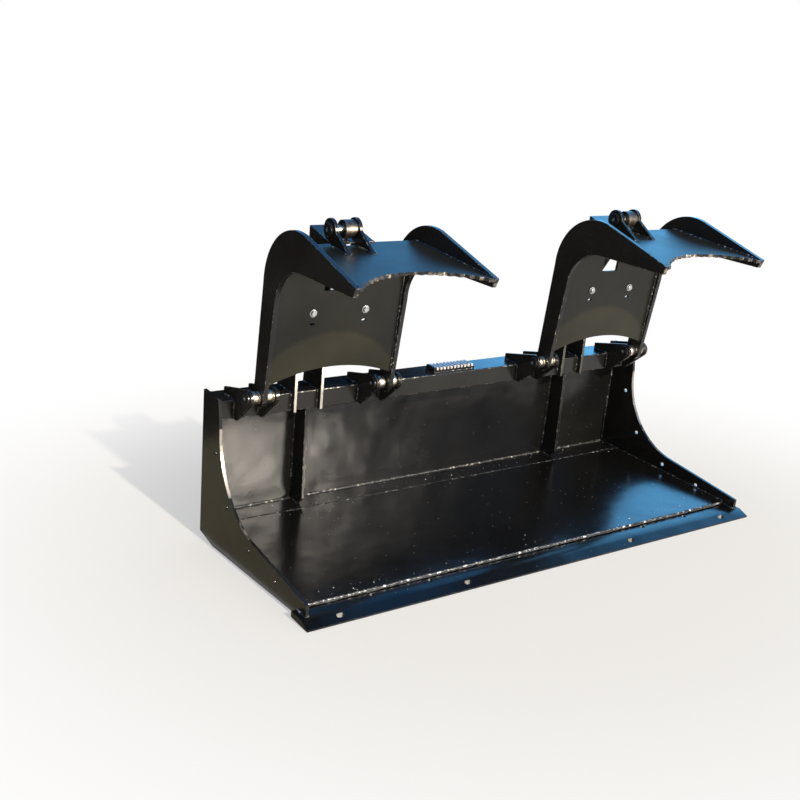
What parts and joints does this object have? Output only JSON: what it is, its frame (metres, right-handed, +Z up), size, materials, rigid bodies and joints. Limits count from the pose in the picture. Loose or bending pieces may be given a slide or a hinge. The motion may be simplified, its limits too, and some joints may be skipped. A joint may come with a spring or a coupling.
{
  "type": "grapple bucket",
  "caption": "Open-front loader bucket of welded plate with independent hydraulic grapple claws hinged on its top tube, and an attachment plate behind.",
  "frame": {"origin": "on the ground under the middle of the whole part, claws open", "axes": "+X to the right seen from the front, along the width; +Y from the open front to the back plate; +Z up"},
  "size_m": [1.867, 0.8464, 1.0988],
  "materials": {
    "black_paint": "gloss black enamel",
    "bright_steel": "bare machined steel with a warm tint",
    "rod_chrome": "hard chrome",
    "pin_steel": "turned steel, lightly oiled"
  },
  "bodies": {
    "bucket": {"back_plate": "black_paint", "base_lug_left_a": "black_paint", "base_lug_left_b": "black_paint", "base_lug_right_a": "black_paint", "base_lug_right_b": "black_paint", "base_pin_ends_left": "pin_steel", "base_pin_ends_right": "pin_steel", "coupler_lower_flange": "black_paint", "coupler_plate": "black_paint", "coupler_upper_lip": "black_paint", "cutting_edge": "black_paint", "floor_plate": "black_paint", "heel_plate": "black_paint", "hinge_ear_left_a_inner": "black_paint", "hinge_ear_left_a_outer": "black_paint", "hinge_ear_left_b_inner": "black_paint", "hinge_ear_left_b_outer": "black_paint", "hinge_ear_right_a_inner": "black_paint", "hinge_ear_right_a_outer": "black_paint", "hinge_ear_right_b_inner": "black_paint", "hinge_ear_right_b_outer": "black_paint", "hinge_pin_left_a": "pin_steel", "hinge_pin_left_b": "pin_steel", "hinge_pin_right_a": "pin_steel", "hinge_pin_right_b": "pin_steel", "hinge_spacers_left": "bright_steel", "hinge_spacers_right": "bright_steel", "inner_post_left": "black_paint", "inner_post_right": "black_paint", "serrated_step": "black_paint", "side_plate_left": "black_paint", "side_plate_right": "black_paint", "top_tube": "black_paint"},
    "claw_left": {"claw_left_bolts": "bright_steel", "claw_left_guard": "black_paint", "claw_left_lug_a": "black_paint", "claw_left_lug_b": "black_paint", "claw_left_panel": "black_paint", "claw_left_plate_a": "black_paint", "claw_left_plate_b": "black_paint", "rod_pin_left": "pin_steel"},
    "rod_left": {"cylinder_left_piston": "pin_steel", "cylinder_left_rod": "rod_chrome"},
    "barrel_left": {"base_pin_core_left": "pin_steel", "cylinder_left_barrel": "black_paint", "cylinder_left_gland": "black_paint"},
    "claw_right": {"claw_right_bolts": "bright_steel", "claw_right_guard": "black_paint", "claw_right_lug_a": "black_paint", "claw_right_lug_b": "black_paint", "claw_right_panel": "black_paint", "claw_right_plate_a": "black_paint", "claw_right_plate_b": "black_paint", "rod_pin_right": "pin_steel"},
    "rod_right": {"cylinder_right_piston": "pin_steel", "cylinder_right_rod": "rod_chrome"},
    "barrel_right": {"base_pin_core_right": "pin_steel", "cylinder_right_barrel": "black_paint", "cylinder_right_gland": "black_paint"}
  },
  "joints": [
    {"name": "claw_left_close", "type": "hinge", "parent": "bucket", "child": "claw_left", "pos_m": [-0.58, 0.12473, 0.53106], "axis": [1, 0, 0], "range_deg": [0, 83]},
    {"name": "rod_left_swing", "type": "hinge", "parent": "claw_left", "child": "rod_left", "pos_m": [-0.608, -0.02616, 1.06477], "axis": [1, 0, 0], "range_deg": [-9.9, 0]},
    {"name": "barrel_left_slide", "type": "slide", "parent": "rod_left", "child": "barrel_left", "axis": [0, 0.5874, -0.8093], "range_m": [0, 0.2433]},
    {"name": "claw_right_close", "type": "hinge", "parent": "bucket", "child": "claw_right", "pos_m": [0.58, 0.12473, 0.53106], "axis": [1, 0, 0], "range_deg": [0, 83]},
    {"name": "rod_right_swing", "type": "hinge", "parent": "claw_right", "child": "rod_right", "pos_m": [0.552, -0.02616, 1.06477], "axis": [1, 0, 0], "range_deg": [-9.9, 0]},
    {"name": "barrel_right_slide", "type": "slide", "parent": "rod_right", "child": "barrel_right", "axis": [0, 0.5874, -0.8093], "range_m": [0, 0.2433]}
  ],
  "couplings": [
    {"joint": "rod_left_swing", "follows": "claw_left_close", "ratio": -0.11681},
    {"joint": "barrel_left_slide", "follows": "claw_left_close", "m_per_rad": 0.16729},
    {"joint": "rod_right_swing", "follows": "claw_right_close", "ratio": -0.11681},
    {"joint": "barrel_right_slide", "follows": "claw_right_close", "m_per_rad": 0.16729}
  ]
}
